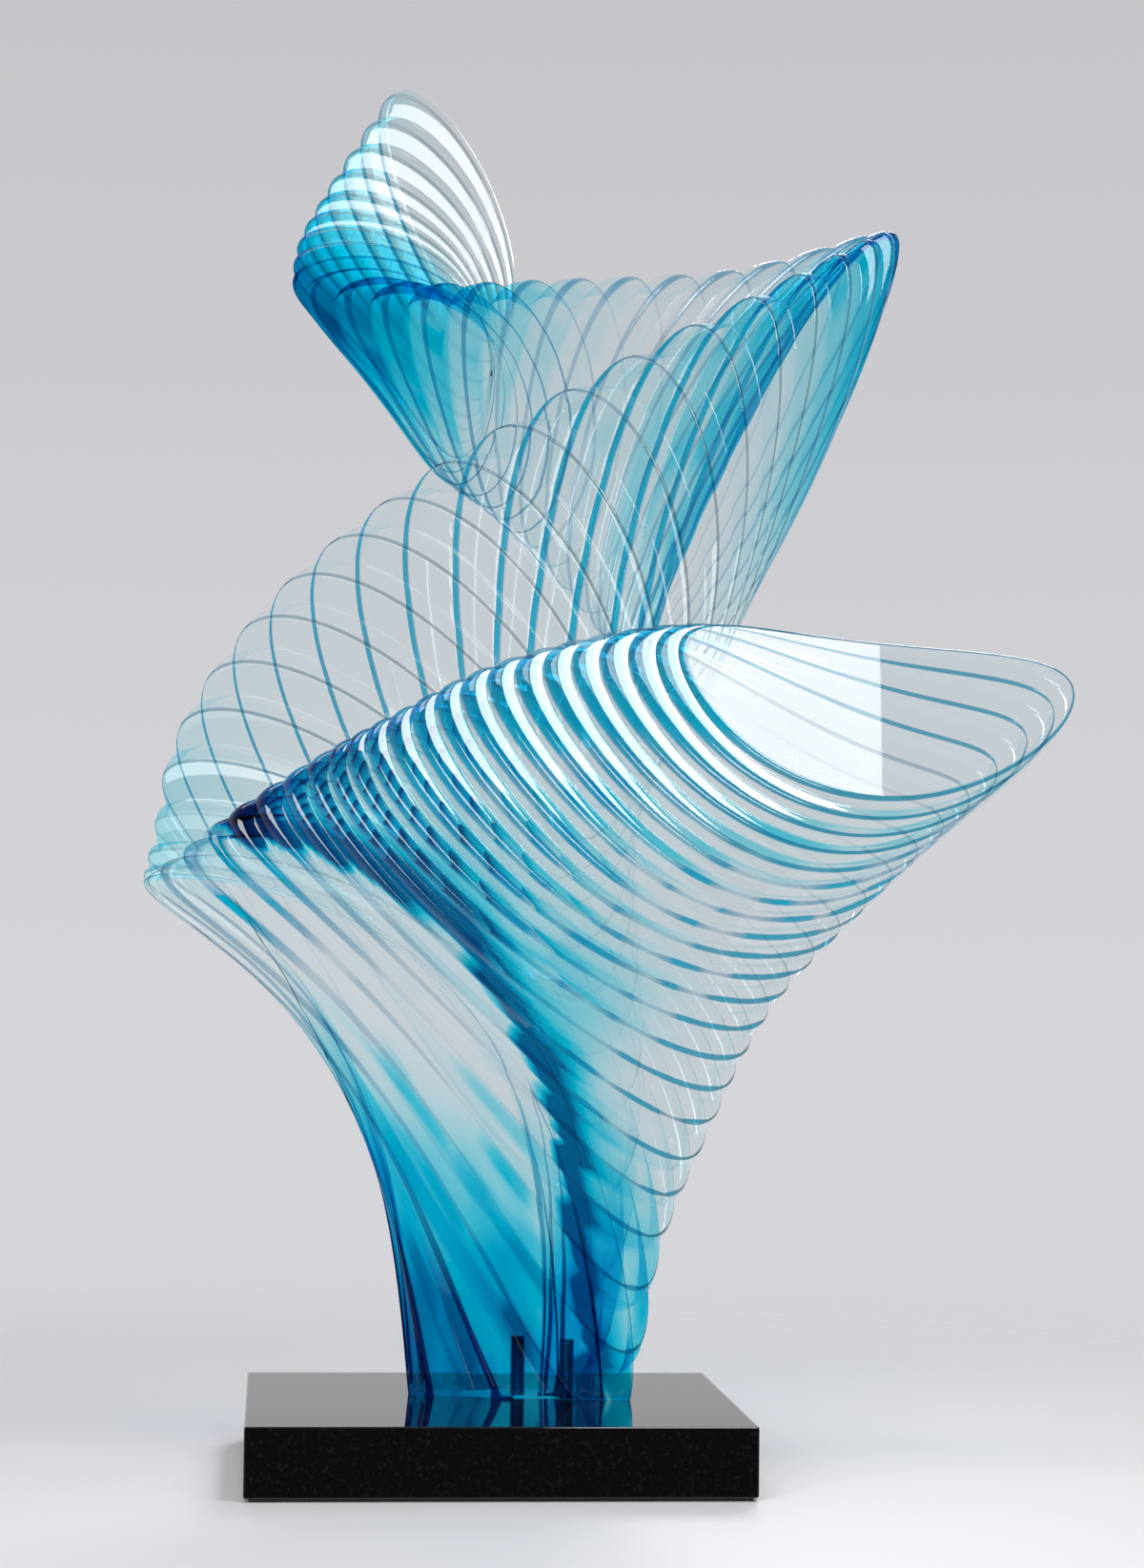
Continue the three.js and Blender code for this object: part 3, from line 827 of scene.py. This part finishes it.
def resin_ribbon():
    """The ribbon, cut level at the foot and bored for the studs."""
    ribbon = new_object("resin_ribbon", ribbon_mesh(), resin_material())
    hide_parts("resin_body")
    uncut = ribbon.data
    half_width, half_depth = BLOCK_WIDTH / 2, BLOCK_DEPTH / 2
    cut_with(ribbon, box_bmesh((-half_width, -half_depth, BELOW_ALL), (half_width, half_depth, UNDERSIDE)))
    for place in STUDS.values():
        cut_with(ribbon, rod_bmesh(POCKET_RADIUS, BLOCK_TOP - 1, STUD_TOP, place))
    fill_cut_values(ribbon, uncut)
    bpy.data.meshes.remove(uncut)
    finish_underside(ribbon)


def polished_block():
    """The block with its chamfers, clearance holes and counterbores."""
    bm = box_bmesh((-BLOCK_WIDTH / 2, -BLOCK_DEPTH / 2, FELT_THICKNESS),
                   (BLOCK_WIDTH / 2, BLOCK_DEPTH / 2, BLOCK_TOP))
    bmesh.ops.bevel(bm, geom=list(bm.edges), offset=BLOCK_CHAMFER * MM, segments=5, profile=0.5,
                    affect="EDGES")
    block = new_object("polished_block", mesh_from("polished_block", bm), block_material())
    below = FELT_THICKNESS - 1
    for place in STUDS.values():
        cut_with(block, rod_bmesh(HOLE_RADIUS, below, BLOCK_TOP + 1, place))
        cut_with(block, rod_bmesh(COUNTERBORE_RADIUS, below, FELT_THICKNESS + COUNTERBORE_DEPTH, place))
    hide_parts("base_block")


def stud_points(place, around, per_turn):
    """Rings up a stud with its thread and a small chamfer on both ends."""
    radius = STUD_DIAMETER / 2
    heights = np.append(np.arange(STUD_BOTTOM, STUD_TOP, THREAD_PITCH / per_turn), STUD_TOP)
    angles = np.arange(around) / around * 2 * math.pi
    turns = heights[:, None] / THREAD_PITCH - angles[None, :] / (2 * math.pi)
    ridge = np.abs((turns % 1) * 2 - 1)
    from_end = np.minimum(heights - STUD_BOTTOM, STUD_TOP - heights)
    most = radius - np.clip(STUD_CHAMFER - from_end, 0, None)
    radii = np.minimum(radius - THREAD_DEPTH * (1 - ridge), most[:, None])
    x = place[0] + radii * np.cos(angles)
    y = place[1] + radii * np.sin(angles)
    return np.stack([x, y, np.repeat(heights[:, None], around, 1)], 2) * MM


def threaded_stud(side, place, material):
    """One stud from its rings, closed at both ends."""
    points = stud_points(place, around=40, per_turn=8)
    ring_count, around, _ = points.shape
    turned_over = [0, 3, 2, 1]  # the rings run upwards, so this makes the quads face outwards
    faces = ring_quads(ring_count, around)[:, turned_over].tolist()
    ring = np.arange(around)
    faces += [ring[::-1].tolist(), (ring + (ring_count - 1) * around).tolist()]
    mesh = bpy.data.meshes.new("stud_" + side + "_threaded")
    mesh.from_pydata(points.reshape(-1, 3).tolist(), [], faces)
    mesh.update()
    stud = new_object("threaded_stud_" + side, mesh, material)
    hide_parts("stud_" + side)


def paint_node(name, material):
    """Gives a solid of the frame its material."""
    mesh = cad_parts[name].data
    mesh.materials.clear()
    mesh.materials.append(material)


def add_camera():
    """A camera that looks along the photograph's yaw and pitch, and rolled like it."""
    camera = bpy.data.cameras.new("camera")
    camera.sensor_fit = "VERTICAL"
    camera.sensor_height = camera.sensor_width = SENSOR
    camera.lens = LENS
    camera.clip_start, camera.clip_end = 0.1, 50
    holder = bpy.data.objects.new("camera", camera)
    bpy.context.scene.collection.objects.link(holder)
    look = Vector((math.sin(YAW) * math.cos(PITCH), math.cos(YAW) * math.cos(PITCH), math.sin(PITCH)))
    right = look.cross(Vector((0, 0, 1))).normalized()
    up = right.cross(look)
    rolled_right = right * math.cos(ROLL) + up * math.sin(ROLL)
    rolled_up = up * math.cos(ROLL) - right * math.sin(ROLL)
    turn = Matrix((rolled_right, rolled_up, -look)).transposed().to_4x4()
    holder.matrix_world = Matrix.Translation(CAMERA_PLACE) @ turn
    bpy.context.scene.camera = holder


def area(name, place, target, size, radiance, spin=0.0, seen_through=True):
    """A rectangular softbox of the given radiance, never seen directly."""
    lamp = bpy.data.lights.new(name, "AREA")
    lamp.shape = "RECTANGLE"
    lamp.size, lamp.size_y = size
    lamp.energy = radiance * math.pi * size[0] * size[1]
    holder = bpy.data.objects.new(name, lamp)
    bpy.context.scene.collection.objects.link(holder)
    holder.location = place
    holder.rotation_euler = (Vector(target) - Vector(place)).to_track_quat("-Z", "Y").to_euler()
    holder.rotation_euler.rotate_axis("Z", math.radians(spin))
    holder.visible_camera = False
    holder.visible_transmission = seen_through


def floor_piece():
    """A pale round floor that fades out before its rim."""
    bm = bmesh.new()
    bmesh.ops.create_circle(bm, cap_ends=True, segments=96, radius=FLOOR_RADIUS)
    material, tree, shader = principled("floor", (0.78, 0.78, 0.8), 0.6)
    from_middle = vector_maths(tree, "LENGTH", object_place(tree))
    tree.links.new(map_range(tree, from_middle, *FLOOR_FADE, 1.0, 0.0), shader.inputs["Alpha"])
    floor = new_object("floor", mesh_from("floor", bm), material, stage=True)
    floor.visible_glossy = False


def studio_world():
    """Pale backdrop for the camera and through the glass, a darker room in front
    for reflections, and plain soft light from all round."""
    world = bpy.data.worlds.new("studio")
    world.use_nodes = True
    tree = world.node_tree
    background = tree.nodes["Background"]
    direction = separate(tree, tree.nodes.new("ShaderNodeTexCoord").outputs["Generated"])
    ramp_input(tree, background, "Color", direction["Z"], (0.665, 0.668, 0.695), (0.55, 0.548, 0.575),
               0.0, 0.3)
    room = map_range(tree, direction["Y"], -0.9, 0.4, 0.04, 1.0, "LINEAR")
    path = tree.nodes.new("ShaderNodeLightPath").outputs
    diffuse = maths(tree, "MULTIPLY", path["Is Diffuse Ray"], 0.5)
    glossy = maths(tree, "MULTIPLY", path["Is Glossy Ray"], room)
    direct = maths(tree, "MAXIMUM", path["Is Camera Ray"], path["Is Transmission Ray"])
    strength = maths(tree, "MAXIMUM", maths(tree, "MAXIMUM", diffuse, glossy), direct)
    tree.links.new(strength, background.inputs["Strength"])
    bpy.context.scene.world = world


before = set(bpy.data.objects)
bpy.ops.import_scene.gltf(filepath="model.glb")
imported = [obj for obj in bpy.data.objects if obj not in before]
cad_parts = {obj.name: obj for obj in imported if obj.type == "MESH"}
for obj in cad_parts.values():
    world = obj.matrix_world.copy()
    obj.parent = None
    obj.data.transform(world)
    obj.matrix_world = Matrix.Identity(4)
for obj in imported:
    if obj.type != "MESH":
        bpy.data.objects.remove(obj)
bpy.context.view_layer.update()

resin_ribbon()
steel = steel_material()
polished_block()
paint_node("felt_pad", felt_material())
for side, place in STUDS.items():
    threaded_stud(side, place, steel)
    paint_node("washer_" + side, steel)
    paint_node("nut_" + side, steel)

add_camera()
area("strip_softbox", (0.214, -0.435, 1.0), (0.214, -0.435, 0), (0.2, 0.37), 13.0, spin=4.5)
area("top_softbox", (-0.4, -0.97, 2.2), (-0.4, -0.97, 0), (1.1, 0.66), 5.0)
area("side_softbox", (-0.697, -1.652, 0.72), (-0.03, 0.18, 0.78), (1.2, 0.62), 8.0)
area("back_softbox", (0.75, 2.1, 1.75), (0, 0.19, 0.8), (0.9, 0.9), 9.0, seen_through=False)
floor_piece()
studio_world()
bpy.context.scene.view_settings.view_transform = "Standard"
